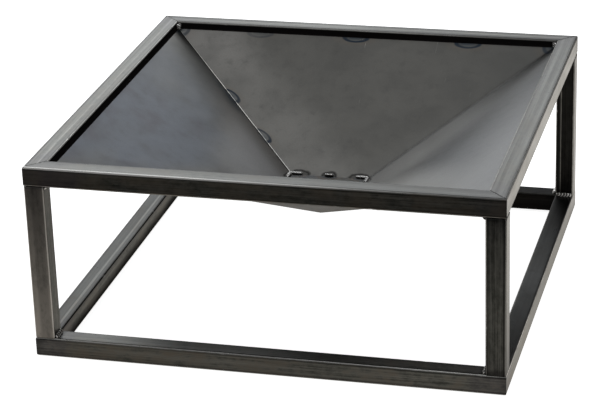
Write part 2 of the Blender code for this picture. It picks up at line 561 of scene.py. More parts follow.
def shell_mesh(name, top, bottom):
    """A closed sheet between two grids of points, with a wall of quads round its four sides."""
    rows, columns = top.shape[:2]
    over = grid_quads(rows, columns)
    under = over[:, ::-1] + rows * columns
    index = np.arange(rows * columns).reshape(rows, columns)
    border = np.concatenate([index[0, :-1], index[:-1, -1], index[-1, :0:-1], index[:0:-1, 0]])
    after = np.roll(border, -1)
    wall = np.stack([border, after, after + rows * columns, border + rows * columns], axis=1)
    quads = np.vstack([over, under, wall])
    points = np.concatenate([top.reshape(-1, 3), bottom.reshape(-1, 3)])
    below = np.repeat([0.0, 1.0], rows * columns)
    return welded_mesh(name, points, quads, {"underside": below})


def bowl_surface(sizes, seed, drop):
    """Upper and lower face of a folded sheet whose fold points towards +X +Y.

    One parameter runs along half the square rim, from one seam over the fold to the other, and
    the other from the lowest point to the rim, which is cut plumb. The height is the slope times the larger of x
    and y, blended over the fold: half their sum plus the root of a quarter of their squared
    difference plus a small square. Low waves lie over the panels and die out at their edges. The
    lower face is the upper one moved by the sheet's thickness along the surface's normal.
    """
    turn = np.linspace(-1, 1, PANEL_COLUMNS)
    turn = np.sign(turn) * abs(turn) ** 1.6
    rise = np.linspace(0, 1, PANEL_ROWS)[:, None] ** 1.1
    seam_gap = 0.00015
    path_x = np.clip(1 + np.minimum(turn, 0) * 2, -1, 1)
    path_y = np.clip(1 - np.maximum(turn, 0) * 2, -1, 1)
    x = rise * path_x * RIM_HALF
    y = rise * path_y * RIM_HALF
    trim = np.clip(seam_gap * math.sqrt(2) - (x + y), 0, None) / 2
    x = x + trim
    y = y + trim
    blend = sizes.fold_radius * SLOPE / 2 * np.clip(rise * 1.5, 0, 1)
    half_difference = (x - y) / 2
    root = np.sqrt(half_difference**2 + blend**2)
    larger = (x + y) / 2 + root
    away = np.clip(root * 2 / RIM_HALF, 0, 1)
    to_seam = np.clip((x + y) / RIM_HALF, 0, 1)
    calm = np.sin(math.pi * np.clip(rise, 0, 1)) * np.clip(away * 2.5, 0, 1) * np.clip(to_seam * 3, 0, 1)
    bulge = sizes.panel_wave * calm * (0.6 + waves(seed, x, y, scale=0.3))
    z = APEX_Z - drop + SLOPE * larger - bulge
    top = np.stack([x, y, z], axis=-1)
    lean_x = SLOPE * (0.5 + half_difference / (2 * np.maximum(root, 1e-9)))
    lean_y = SLOPE * (0.5 - half_difference / (2 * np.maximum(root, 1e-9)))
    # On the fold's own line and at the lowest point the two leans are equal.
    normal = np.stack([-lean_x, -lean_y, np.ones_like(lean_x)], axis=-1)
    normal /= np.linalg.norm(normal, axis=-1, keepdims=True)
    bottom = top - normal * sizes.sheet
    bottom[..., :2] = np.clip(bottom[..., :2], -RIM_HALF, RIM_HALF)
    return top, bottom


def plate_surface(sizes, seed):
    """Upper and lower face of the floor plate: a square grid, a little domed and uneven.

    Its edges are drawn in by a small fourth power of the other coordinate at the corners, and it
    lies lowest where its beads pull it down.
    """
    line = np.linspace(-1, 1, 61)
    u, v = np.meshgrid(line, line, indexing="xy")
    corner = 0.0008 * (u * v) ** 8
    x = PLATE_MIDDLE.x + u * (PLATE_HALF - corner)
    y = PLATE_MIDDLE.y + v * (PLATE_HALF - corner)
    dome = 0.0005 * ((1 - u**2) * (1 - v**2) - 1)
    uneven = 0.00012 * (waves(seed, x, y, scale=0.03) - 1)
    z = PLATE_HIGH.z + dome + uneven
    top = np.stack([x, y, z], axis=-1)
    bottom = top - np.array([0, 0, sizes.sheet * 0.95])
    return top, bottom


# Weld beads

BEAD_COLUMNS = 28


def unit(vector):
    """The direction of a vector, or of each row of vectors."""
    vector = np.asarray(vector, float)
    return vector / np.linalg.norm(vector, axis=-1, keepdims=True)


def straight_path(middle, direction, length, step):
    """Even points along a straight line."""
    count = max(24, int(length / step))
    reach = np.linspace(-length / 2, length / 2, count)[:, None]
    return np.asarray(middle, float) + reach * unit(direction)


def bent_path(corner, first, second, leg, radius, step):
    """Even points along one leg, round a quarter circle, and along the other leg.

    first and second are the unit directions from the corner along the two legs.
    """
    corner, first, second = (np.asarray(value, float) for value in (corner, first, second))
    centre = corner + (first + second) * radius
    angle = np.linspace(0, math.pi / 2, 12)[:, None]
    arc = centre - radius * (second * np.cos(angle) + first * np.sin(angle))
    rough = np.vstack([corner + first * leg, arc, corner + second * leg])
    reach = np.concatenate([[0], np.cumsum(np.linalg.norm(np.diff(rough, axis=0), axis=1))])
    even = np.linspace(0, reach[-1], int(reach[-1] / step))
    return np.stack([np.interp(even, reach, rough[:, axis]) for axis in range(3)], axis=1)


def bead_surface(path, up, half_width, height, pitch, seed):
    """A rippled bead on a path, as points and how far each stands on a crest.

    An oval, flatter below, is carried along the path. Its size follows the fourth root of one
    less the fourth power of the place along the run, so it swells quickly and ends round. The
    ripples are a sine of the distance run, held back towards the sides so that each is a
    crescent, and slow waves make the width and the pitch uneven.
    """
    count = len(path)
    along = np.gradient(path, axis=0)
    along = unit(along)
    up = np.broadcast_to(np.asarray(up, float), path.shape)
    across = unit(np.cross(along, up))
    up = unit(np.cross(across, along))
    run = np.concatenate([[0], np.cumsum(np.linalg.norm(np.diff(path, axis=0), axis=1))])
    place = np.linspace(-1, 1, count)
    swell = np.clip(1 - abs(place) ** 5, 0, 1) ** 0.42
    turn = np.linspace(0, 2 * math.pi, BEAD_COLUMNS, endpoint=False)
    side = np.cos(turn)[None, :]
    rise = np.sin(turn)[None, :]
    beat = run / pitch + 0.35 * waves(seed, run, scale=0.004)
    phase = 2 * math.pi * (beat[:, None] + 0.55 * side**2)
    crest = (0.5 + 0.5 * np.sin(phase)) * np.clip(rise + 0.6, 0, 1)
    uneven = 1 + 0.10 * waves(seed + 1, run, scale=0.005)[:, None]
    width = half_width * swell[:, None] * (uneven + 0.07 * crest)
    lift = height * swell[:, None] * (uneven + 0.24 * (crest - 0.5))
    lift = np.where(rise < 0, lift * 0.6, lift)
    points = (
        path[:, None, :]
        + across[:, None, :] * (width * side)[..., None]
        + up[:, None, :] * (lift * rise)[..., None]
    )
    return points, crest


def add_bead(node, path, up, half_width, height, sizes, seed, material, coarse=1.0):
    """Make one bead and show it in place of its CAD node."""
    pitch = sizes.ripple_pitch * coarse
    points, crest = bead_surface(path, up, half_width, height, pitch, seed)
    quads = grid_quads(*points.shape[:2], ring=True)[:, ::-1]
    mesh = welded_mesh(node + "_bead", points, quads, {"crest": crest})
    add_piece(node + "_bead", mesh, material, node)


# Materials


class Signal:
    """A number or colour that changes over the surface, with Python's arithmetic on it."""

    def __init__(self, finish, socket):
        self.finish = finish
        self.socket = socket

    def math(self, operation, *others, clamp=False):
        return self.finish.math(operation, self, *others, clamp=clamp)

    def __add__(self, other):
        return self.math("ADD", other)

    __radd__ = __add__

    def __mul__(self, other):
        return self.math("MULTIPLY", other)

    __rmul__ = __mul__

    def __sub__(self, other):
        return self.math("SUBTRACT", other)

    def __rsub__(self, other):
        return self.finish.math("SUBTRACT", other, self)

    def __truediv__(self, other):
        return self.math("DIVIDE", other)

    def __rtruediv__(self, other):
        return self.finish.math("DIVIDE", other, self)

    def __pow__(self, other):
        return self.math("POWER", other)

    def __abs__(self):
        return self.math("ABSOLUTE")

    def __neg__(self):
        return self * -1.0


class Finish:
    """A material whose Principled shader is fed by expressions."""

    def __init__(self, name):
        self.material = bpy.data.materials.new(name)
        self.material.use_nodes = True
        self.tree = self.material.node_tree
        self.shader = self.tree.nodes["Principled BSDF"]

    def node(self, kind, settings=None, sockets=None, output=0):
        """Add a node: its settings first, then the values or links of its sockets."""
        made = self.tree.nodes.new(kind)
        for key, value in (settings or {}).items():
            setattr(made, key, value)
        for key, value in (sockets or {}).items():
            self.feed(made.inputs[key], value)
        return Signal(self, made.outputs[output])

    def feed(self, socket, value):
        """Link a signal to a socket, or set the socket's value."""
        if isinstance(value, Signal):
            self.tree.links.new(value.socket, socket)
        elif socket.type == "RGBA" and len(value) == 3:
            socket.default_value = (*value, 1)
        else:
            socket.default_value = value

    def math(self, operation, *values, clamp=False):
        settings = {"operation": operation, "use_clamp": clamp}
        return self.node("ShaderNodeMath", settings, dict(enumerate(values)))

    def least(self, *values):
        """The smallest of several numbers."""
        lowest = values[0]
        for value in values[1:]:
            lowest = self.math("MINIMUM", lowest, value)
        return lowest

    def length(self, *values):
        """The root of the sum of squares."""
        total = values[0] * values[0]
        for value in values[1:]:
            total = total + value * value
        return self.math("SQRT", total)

    def fade(self, value, start, end):
        """Smoothly from 0 at start to 1 at end; the other way round where end is the lower."""
        low, high = sorted((start, end))
        ends = (0.0, 1.0) if end > start else (1.0, 0.0)
        settings = {"interpolation_type": "SMOOTHSTEP"}
        sockets = {"Value": value, 1: low, 2: high, 3: ends[0], 4: ends[1]}
        return self.node("ShaderNodeMapRange", settings, sockets)

    def mix(self, factor, first, second, blend="MIX"):
        """A colour between two, by a factor."""
        settings = {"data_type": "RGBA", "blend_type": blend, "clamp_factor": True}
        return self.node("ShaderNodeMix", settings, {0: factor, 6: first, 7: second}, output=2)

    def place(self):
        """The surface point's own coordinates in metres."""
        return self.node("ShaderNodeTexCoord", output=3)

    def parts(self, vector):
        """The three numbers of a vector."""
        split = self.node("ShaderNodeSeparateXYZ", sockets={0: vector})
        outputs = split.socket.node.outputs
        return [Signal(self, outputs[index]) for index in range(3)]

    def stretched(self, vector, scale, turn=(0, 0, 0)):
        """The coordinates turned, then scaled, so that a pattern lies along one direction."""
        sockets = {"Vector": vector, "Rotation": turn, "Scale": scale}
        return self.node("ShaderNodeMapping", {"vector_type": "POINT"}, sockets)

    def noise(self, vector, scale, detail=3.0, roughness=0.5, distortion=0.0):
        """Cloudy noise, a number around one half."""
        sockets = {
            "Vector": vector,
            "Scale": scale,
            "Detail": detail,
            "Roughness": roughness,
            "Distortion": distortion,
        }
        return self.node("ShaderNodeTexNoise", {"noise_dimensions": "3D"}, sockets)

    def attribute(self, name, vector=False):
        """A number, or three, stored on the mesh."""
        return self.node("ShaderNodeAttribute", {"attribute_name": name}, output=1 if vector else 2)

    def bump(self, height, strength, distance):
        """The surface's normal, tilted by a height."""
        sockets = {"Strength": strength, "Distance": distance, "Height": height}
        self.feed(self.shader.inputs["Normal"], self.node("ShaderNodeBump", None, sockets))

    def cover(self, amount, colour):
        """Cover some of the surface with a dead matt colour."""
        sockets = {"Base Color": colour, "Roughness": 0.9, "Specular IOR Level": 0.0}
        matt = self.node("ShaderNodeBsdfPrincipled", sockets=sockets)
        shaders = {0: amount, 1: Signal(self, self.shader.outputs[0]), 2: matt}
        both = self.node("ShaderNodeMixShader", sockets=shaders)
        self.feed(self.tree.nodes["Material Output"].inputs["Surface"], both)

    def surface(self, **sockets):
        """Feed the shader's sockets; an underscore stands for a space."""
        for key, value in sockets.items():
            self.feed(self.shader.inputs[key.replace("_", " ")], value)
        return self.material


# How strongly the heat of a joint has reddened and darkened each kind of tube, and how far.
JOINT_MARKS = {
    "top_tube_scale": (0.20, 0.05, 0.035),
    "base_tube_scale": (0.25, 0.30, 0.040),
    "post_tube_scale": (0.10, 0.60, 0.010),
}


# How brown the clouds are on each kind of tube.
BROWNING = {"top_tube_scale": 0.35, "base_tube_scale": 0.65, "post_tube_scale": 0.10}


def top_ring_painted_shading(finish, x, y, inwards, upwards, fine):
    """Painted light and shade on each top rail, as a factor: 1 is the drawn tube's own colour.

    A rail's own number is 1 within it. The front rail's top is painted duller to the right. The
    left rail has a painted light line along its top and is painted lighter towards the front, the
    right rail is painted a little darker with a painted highlight along its inner edge, and the
    back rail has a painted light band between two painted dull ones.
    """
    front, right, back, left = ring_sides(finish, x, y)
    top = finish.fade(upwards, 0.0125, 0.0142)
    line = finish.fade(abs(inwards - 0.002 + fine * 0.0006), 0.0022, 0.0008)
    painted_shading = 1 - front * top * finish.fade(x, -0.15, 0.20) * 0.45 - right * top * 0.12
    painted_shading = painted_shading + left * top * (line * 0.70 + finish.fade(y, 0.20, -0.10) * 0.22)
    outer = finish.fade(inwards + fine * 0.001, -0.001, -0.005) * 0.50
    middle = finish.fade(abs(inwards - 0.0015), 0.004, 0.001) * 0.40
    inner = finish.fade(inwards + fine * 0.001, 0.003, 0.007) * (0.50 + finish.fade(x, 0.0, 0.3) * 0.30)
    painted_shading = painted_shading + right * top * finish.fade(inwards, 0.0115, 0.0130) * 0.5
    return painted_shading + back * top * (middle - outer - inner)


def base_ring_painted_shading(finish, x, y, inwards, upwards, fine):
    """Painted light and shade on each base rail, as a factor: painted reflections of the pit above it and of the
    ground.
    """
    front, right, back, left = ring_sides(finish, x, y)
    top = finish.fade(upwards, 0.0125, 0.0142)
    outer = finish.fade(inwards, -0.0142, -0.0148)
    inner = finish.fade(inwards, 0.0142, 0.0148)
    line = finish.fade(abs(inwards - 0.0044 + fine * 0.0006), 0.0026, 0.0010)
    painted_shading = 1 - left * top * (1 - line) * 0.62 + left * inner * 1.1
    painted_shading = painted_shading - right * top * (0.62 + finish.fade(inwards, 0.013, 0.008) * 0.26)
    painted_shading = painted_shading + right * outer * (0.35 + finish.fade(y, 0.0, -0.3) * 0.95)
    painted_shading = painted_shading - back * finish.fade(x, 0.0, 0.22) * 0.85
    painted_shading = painted_shading - front * outer * finish.fade(x, 0.25, 0.05) * 0.24
    return painted_shading - front * top * (0.18 + finish.fade(abs(x + 0.02), 0.25, 0.10) * 0.30)


def post_painted_shading(finish, x, y, z, fine):
    """Painted light and shade on each post, as a factor: duller in the middle of the left posts'
    front faces, lighter on the front left post's inner face, most low down, darker low on the front
    right post, darker on both back posts, and a painted highlight line on the back right post.
    """
    left = finish.fade(x, 0.0, -0.2)
    near = finish.fade(y, 0.0, -0.2)
    ahead = finish.fade(y, -0.3488, -0.3496) * left
    aside = finish.fade(x, -0.3215, -0.3203) * left * near
    painted_shading = 1 - ahead * finish.fade(abs(x + 0.332 + fine * 0.001), 0.010, 0.006) * 0.30
    painted_shading = painted_shading + aside * (0.6 + finish.fade(z, 0.20, 0.08) * 0.5)
    painted_shading = painted_shading - (1 - left) * near * finish.fade(z, 0.16, 0.05) * 0.35
    far = 1 - near
    # A painted highlight line along the back right post.
    glint = far * (1 - left) * finish.fade(abs(x - 0.3285), 0.0012, 0.0004)
    return painted_shading - far * 0.25 + glint * 6.0


def ring_sides(finish, x, y):
    """Four numbers, each 1 on one side of a ring: front, right, back and left."""
    pairs = ((-y, x), (x, y), (y, x), (-x, y))
    return [finish.fade(ahead - abs(aside), 0.0, 0.0006) for ahead, aside in pairs]


def tube_steel(name, colours):
    """Drawn square tube in raw scale.

    Streaks and hairlines run along the tube, over brown and grey clouds. Its corners are lighter
    in a broken line, partly wear and partly a painted highlight, with a painted shadow line beside
    it, and heat has turned it violet and dark near a joint. Painted light and shade are laid over
    each face as a factor; the inner faces of the top ring are painted black as shade, and those of
    the base ring are painted darker towards the bottom as shade.
    """
    finish = Finish(name)
    place = finish.attribute("tube_place", vector=True)
    wide = finish.noise(finish.stretched(place, (2.2, 230, 230)), 1.0, detail=4, roughness=0.65)
    hair = finish.noise(finish.stretched(place, (12, 900, 900)), 1.0, detail=3, roughness=0.6)
    clouds = finish.noise(finish.stretched(place, (14, 24, 24)), 1.0, detail=5, roughness=0.6, distortion=0.5)
    mottles = finish.noise(finish.stretched(place, (90, 170, 170)), 1.0, detail=4, roughness=0.65)
    grain = finish.noise(place, 1400.0, detail=2)
    drawn = wide * 0.46 + hair * 0.28 + clouds * 0.24 + mottles * 0.28 + grain * 0.08
    colour = finish.mix(finish.fade(drawn, 0.53, 0.81), colours.tube_dark, colours.tube_light)
    brown = finish.fade(clouds * 0.6 + mottles * 0.5, 0.48, 0.72)
    colour = finish.mix(brown * BROWNING[name], colour, colours.tube_brown)
    x, y, z = finish.parts(finish.place())
    if name == "top_tube_scale":
        ahead = finish.fade(y, -0.3488, -0.3496)
        colour = finish.mix(ahead * finish.fade(clouds, 0.35, 0.60) * 0.55, colour, colours.tube_brown)
        bruise = ahead * finish.fade(abs(x + 0.295) + (clouds - 0.5) * 0.06, 0.045, 0.025)
        colour = finish.mix(bruise * 0.45, colour, colours.temper_violet)
    to_end = finish.attribute("to_end")
    heat = to_end + (clouds - 0.5) * 0.04 + (mottles - 0.5) * 0.012
    reddened, darkened, spread = JOINT_MARKS[name]
    violet = finish.fade(heat, spread + 0.020, spread)
    colour = finish.mix(violet * reddened, colour, colours.temper_violet)
    burnt = finish.fade(to_end + (mottles - 0.5) * 0.012, 0.014, 0.002)
    colour = finish.mix(burnt * darkened, colour, colours.soot_and_painted_shade)
    corner = finish.attribute("from_corner")
    uneven = (hair - 0.5) * 0.0016 + (mottles - 0.5) * 0.0018
    shadow = finish.fade(corner, 0.0024, 0.0032) * finish.fade(corner, 0.0054, 0.0038)
    _, inwards, upwards = finish.parts(place)
    outer_top = finish.fade(upwards, 0.012, 0.015) * finish.fade(inwards, 0.0, -0.006)
    shadow = shadow * (0.30 + finish.fade(hair, 0.4, 0.6) * 0.3 + outer_top * 0.25)
    shadow = shadow * (1 - outer_top * finish.fade(y, -0.335, -0.345) * finish.fade(x, 0.0, -0.2))
    colour = finish.mix(shadow, colour, colours.soot_and_painted_shade)
    # Lighter corners in a broken line: partly wear, partly a painted highlight.
    wear_and_painted_light = finish.fade(corner + uneven, 0.0022, 0.0013)
    if name == "post_tube_scale":
        wear_and_painted_light = wear_and_painted_light * 0.5
        # Painted light: the left posts' front faces are laid lighter.
        painted_light = finish.fade(y, -0.3470, -0.3495) * finish.fade(x, 0.0, -0.2)
        painted_light = painted_light * (0.55 + finish.fade(clouds + mottles, 0.8, 1.15) * 0.35)
        colour = finish.mix(painted_light, colour, colours.painted_light)
        # Painted shade: the back right post is darkened.
        colour = finish.mix(finish.fade(x + y, 0.3, 0.6) * 0.75, colour, colours.soot_and_painted_shade)
    else:
        kept_inside = 0.55 if name == "top_tube_scale" else 1.0
        wear_and_painted_light = wear_and_painted_light * (1 - finish.fade(inwards, 0.0, 0.010) * (1 - kept_inside))
        wear_and_painted_light = wear_and_painted_light * (1 - finish.fade(upwards, 0.0, -0.010) * 0.6)
        foot = finish.least(abs(x), abs(y)) - (SIDE / 2 - TUBE)
        foot = finish.fade(foot + (mottles - 0.5) * 0.010, -0.012, -0.004)
        foot = foot * finish.fade(upwards, 0.010, 0.014) * finish.fade(z, TUBE + 0.01, TUBE)
        colour = finish.mix(foot * 0.85, colour, colours.soot_and_painted_shade)
    if name == "top_tube_scale":
        edge = finish.fade(y, -0.3430, -0.3450) * finish.fade(upwards, 0.010, 0.012)
        wear_and_painted_light = wear_and_painted_light * (1 - edge * finish.fade(x, 0.05, 0.30) * 0.7)
        # A painted highlight along the front rail's top edge, brightest at the left.
        painted_edge_highlight = edge * finish.fade(corner + uneven * 0.5, 0.0034, 0.0022)
        colour = finish.mix(painted_edge_highlight * finish.fade(x, 0.25, -0.25), colour, colours.weld_bright_and_highlight)
        painted_shading = top_ring_painted_shading(finish, x, y, inwards, upwards, (hair - 0.5) * 4.0)
    elif name == "base_tube_scale":
        # A painted shadow line along the left base rail's inner top corner, in place of its lighter edge.
        painted_corner_shade = finish.fade(inwards, 0.008, 0.011) * finish.fade(-x - abs(y), 0.0, 0.001)
        wear_and_painted_light = wear_and_painted_light * (1 - painted_corner_shade)
        colour = finish.mix(painted_corner_shade * finish.fade(corner, 0.0024, 0.0012) * 0.9, colour, colours.soot_and_painted_shade)
        painted_shading = base_ring_painted_shading(finish, x, y, inwards, upwards, (hair - 0.5) * 4.0)
    else:
        painted_shading = post_painted_shading(finish, x, y, z, (hair - 0.5) * 4.0)
    wear_and_painted_light = finish.math("MAXIMUM", wear_and_painted_light, finish.attribute("nicked"))
    colour = finish.mix(wear_and_painted_light * 0.9, colour, colours.bare)
    # Painted light and shade of each face, laid on its colour as a factor.
    colour = finish.mix(1.0, colour, painted_shading, blend="MULTIPLY")
    specks = finish.noise(place, 260.0, detail=1, distortion=0.6)
    rust = finish.fade(specks + (clouds - 0.5) * 0.16, 0.80, 0.86) * 0.7
    colour = finish.mix(rust, colour, colours.rust)
    rough = 0.33 + (hair - 0.5) * 0.14 + (clouds - 0.5) * 0.20 + (mottles - 0.5) * 0.12
    rough = rough + rust * 0.3 - wear_and_painted_light * 0.04
    finish.bump(wide * 0.35 + hair * 0.4 + grain * 0.15 + mottles * 0.1, 0.16, 0.0004)
    finish.surface(Base_Color=colour, Roughness=rough, Metallic=1 - rust * 0.8)
    if name == "top_tube_scale":
        # Painted shade: the top ring's inner faces are covered in dead matt black.
        painted_inner_shade = finish.attribute("inner_face") * finish.fade(corner, 0.0018, 0.0028)
        finish.cover(painted_inner_shade * (1 - finish.fade(mottles, 0.62, 0.80) * 0.3), colours.soot_and_painted_shade)
    if name == "base_tube_scale":
        # Painted shade: the base ring's inner faces darken towards the bottom, under the bowl.
        painted_low_shade = finish.attribute("inner_face") * finish.fade(z + (clouds - 0.5) * 0.01, 0.029, 0.003)
        finish.cover(painted_low_shade * 0.95 * finish.fade(corner, 0.0026, 0.0036), colours.soot_and_painted_shade)
    return finish.material


def heat_rings(finish, x, y):
    """How far a point of the bowl is from the nearest weld behind the sheet: 1 on the tint's rim.

    Below the rim, tacks lie in the middle and a quarter of a side to each hand. Stitches lie
    along the two seams, and the rim's corners are hot from the ring's own welds.
    """
    reach = finish.math("MAXIMUM", abs(x), abs(y))
    aside = finish.math("MINIMUM", abs(x), abs(y))
    from_rim = (RIM_HALF - abs(y)) * STEEPNESS
    to_tack = finish.least(abs(x + 0.012), abs(abs(x) - SIDE / 4))
    tack = finish.length(to_tack / 0.021, from_rim / 0.010)
    corner = finish.length((RIM_HALF - reach) / 0.016, (RIM_HALF - aside) / 0.018)
    to_seam = abs(x + y) / math.sqrt(2)
    near = [tack, corner]
    for node in ("weld_seam_back_left_1", "weld_seam_back_left_2"):
        low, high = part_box(node)
        stitch_reach = (high.y + low.y) / 2
        run = (reach - stitch_reach) * math.hypot(math.sqrt(2), SLOPE)
        near.append(finish.length(run / 0.018, to_seam / 0.0080))
    return finish.least(*near), reach, aside


def sheet_steel(colours):
    """Hot-rolled sheet: cloudy blue, grey and brown scale, tint rings at the welds behind it, and painted light,
    sheen and shade on its panels and beside its seam.
    """
    finish = Finish("bowl_scale")
    point = finish.place()
    x, y, _ = finish.parts(point)
    clouds = finish.noise(point, 5.0, detail=6, roughness=0.55, distortion=0.7)
    patches = finish.noise(point, 16.0, detail=4, roughness=0.5, distortion=0.3)
    smears = finish.noise(finish.stretched(point, (4, 26, 14), (0, 0, 0.5)), 1.0, detail=4)
    mottles = finish.noise(point, 60.0, detail=4, roughness=0.6)
    grain = finish.noise(point, 700.0, detail=3)
    rings, reach, aside = heat_rings(finish, x, y)
    over_seam = (x + y) / math.sqrt(2)
    from_seam = abs(over_seam)
    sideways = finish.fade(abs(x) - abs(y), -0.05, 0.12)
    blueness = sideways * 0.55 + clouds * 0.9 - abs(y + 0.05) * 0.6 - finish.fade(reach, 0.22, 0.10) * 0.50
    blueness = finish.fade(blueness, 0.48, 0.95) * (1 - finish.fade(x, 0.05, 0.15) * 0.6)
    colour = finish.mix(blueness, colours.scale_brown, colours.scale_blue)
    right = finish.fade(x, -0.02, 0.06)
    # Painted light: the side panels lighter low down, and the right panel lighter overall.
    low = finish.fade(reach, 0.26, 0.10) * sideways
    colour = finish.mix(low * (0.12 + right * 0.20) + sideways * right * 0.15, colour, colours.light_scale_and_painted_light)
    behind = finish.fade(abs(x) - abs(y), 0.004, -0.004) * finish.fade(y, 0.0, 0.05)
    warm = finish.fade(over_seam + (clouds - 0.5) * 0.08, 0.115, 0.035)
    warm = warm * (0.50 + finish.fade(reach, 0.20, 0.30) * 0.40)
    colour = finish.mix(warm * behind, colour, colours.scale_warm)
    dull = finish.fade(-x - abs(y), 0.0, 0.010) * finish.fade(y + (clouds - 0.5) * 0.1, -0.04, 0.20)
    colour = finish.mix(dull * 0.42, colour, colours.dark_scale_and_painted_shade)
    shaded = finish.fade(x + (clouds - 0.5) * 0.2, 0.08, 0.26) * finish.fade(y, 0.10, 0.24)
    shaded = shaded * (0.30 + finish.fade(x, 0.20, 0.32) * 0.40)
    colour = finish.mix(shaded * behind, colour, colours.dark_scale_and_painted_shade)
    dark = finish.fade(patches * 0.95 + smears * 0.05, 0.42, 0.72)
    colour = finish.mix(dark * 0.28 + sideways * (1 - right) * 0.14, colour, colours.dark_scale_and_painted_shade)
    violet = finish.fade(clouds + (patches - 0.5) * 0.6, 0.50, 0.68) * sideways * (1 - right)
    colour = finish.mix(violet * 0.45, colour, colours.temper_violet)
    colour = finish.mix(finish.fade(mottles, 0.5, 0.8) * 0.3, colour, colours.dark_scale_and_painted_shade)
    rings = rings + (patches - 0.5) * 0.4 + (mottles - 0.5) * 0.10
    haze = finish.fade(rings, 0.9, 1.02) * finish.fade(rings, 2.3, 1.1)
    outline = finish.fade(rings, 0.60, 0.86) * finish.fade(rings, 1.20, 1.00)
    within = finish.fade(rings, 0.80, 0.50)
    shown = 1 - finish.fade(abs(x) - abs(y), 0.0, 0.03) * finish.fade(from_seam, 0.03, 0.06)
    shown = shown * (0.55 + finish.fade(patches, 0.35, 0.65) * 0.45)
    shown = shown * (1 - behind * finish.fade(reach, 0.26, 0.29) * finish.fade(abs(x + 0.175), 0.05, 0.04) * 0.6)
    colour = finish.mix(haze * shown * 0.20, colour, colours.temper_straw)
    far_side = finish.fade(over_seam, 0.0, -0.002)
    colour = finish.mix(outline * shown * (1 - far_side * 0.6), colour, colours.temper_blue)
    colour = finish.mix(within * shown * 0.60, colour, colours.temper_pale)
    colour = finish.mix(within * far_side * 0.7, colour, colours.temper_blue)
    low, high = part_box("weld_seam_back_left_1")
    along_seam = (reach - (low.y + high.y) / 2 - 0.004) / 0.045
    blotch = finish.fade(finish.length(along_seam, from_seam / 0.020) + (patches - 0.5), 1.1, 0.3)
    colour = finish.mix(blotch * far_side * 0.60, colour, colours.temper_blue)
    # Painted light: the left panel lighter beside the lower part of the seam.
    wear_and_painted_light = finish.fade(from_seam, 0.085, 0.020) * far_side * finish.fade(reach, 0.25, 0.15)
    colour = finish.mix(wear_and_painted_light * (1 - blotch) * 0.55, colour, colours.painted_light)
    # Painted sheen a little way off the seam, low on the left panel.
    painted_seam_light = finish.fade(from_seam, 0.16, 0.06) * finish.fade(from_seam, 0.004, 0.040) * far_side
    colour = finish.mix(painted_seam_light * finish.fade(reach, 0.20, 0.12) * 0.62, colour, colours.painted_sheen)
    out = (reach - PLATE_HALF - 0.001) / 0.0085
    at_bead = finish.least(
        finish.length(out, (aside - (PLATE_HALF - 0.012)) / 0.017),
        finish.length(out, aside / 0.012),
    )
    at_bead = at_bead + (mottles - 0.5) * 0.9
    beside = finish.fade(at_bead, 1.15, 0.85) * 0.5
    beside = beside + finish.fade(at_bead, 0.72, 0.90) * finish.fade(at_bead, 1.22, 1.04) * 0.45
    below = finish.attribute("underside")
    # Painted light on the right panel along its fold.
    painted_fold_light = finish.fade(abs(x - y), 0.15, 0.0) * finish.fade(x - y, 0.0, 0.012)
    painted_fold_light = painted_fold_light * finish.fade(reach, RIM_HALF, RIM_HALF * 0.5) * 0.5 + painted_fold_light * 0.5
    beyond = finish.fade(x - abs(y), -0.003, 0.007)
    colour = finish.mix(painted_fold_light * 0.80 * beyond, colour, colours.light_scale_and_painted_light)
    # Painted sheen on the right panel near its rim.
    painted_rim_sheen = finish.fade(x + (patches - 0.5) * 0.06 - y * 0.30, 0.21, 0.35) * beyond
    colour = finish.mix(painted_rim_sheen * 0.62, colour, colours.painted_sheen)
    # Painted sheen on the right panel beside the fold, low down.
    inner_sheen = finish.fade(x - abs(y), 0.002, 0.020) * finish.fade(x - abs(y), 0.19, 0.07)
    inner_sheen = inner_sheen * finish.fade(reach, 0.32, 0.12)
    colour = finish.mix(inner_sheen * 0.58, colour, colours.bare)
    burnt = beside * 0.95 * (1 - below)
    colour = finish.mix(burnt, colour, colours.soot_and_painted_shade)
    colour = finish.mix((grain - 0.5) * 0.5 + 0.12, colour, colours.dark_scale_and_painted_shade)
    scratches = finish.noise(finish.stretched(point, (900, 22, 22), (0.2, 0, 0.9)), 1.0, detail=1)
    scratched = finish.fade(scratches, 0.78, 0.84) * finish.fade(patches, 0.52, 0.66) * 0.35
    colour = finish.mix(scratched, colour, colours.bare)
    cut = finish.fade(from_seam, 0.0008, 0.0004) * finish.fade(over_seam, -0.0001, 0.0001) * (1 - below)
    # The cut edge is bare steel; its line is painted stronger towards the bottom as a highlight.
    cut = cut * (0.35 + finish.fade(reach, RIM_HALF * 0.95, RIM_HALF * 0.75) * 0.65)
    shade = finish.fade(over_seam, -0.0050, -0.0008) * finish.fade(over_seam, 0.0001, -0.0001) * (1 - below)
    colour = finish.mix(shade * 0.75, colour, colours.soot_and_painted_shade)
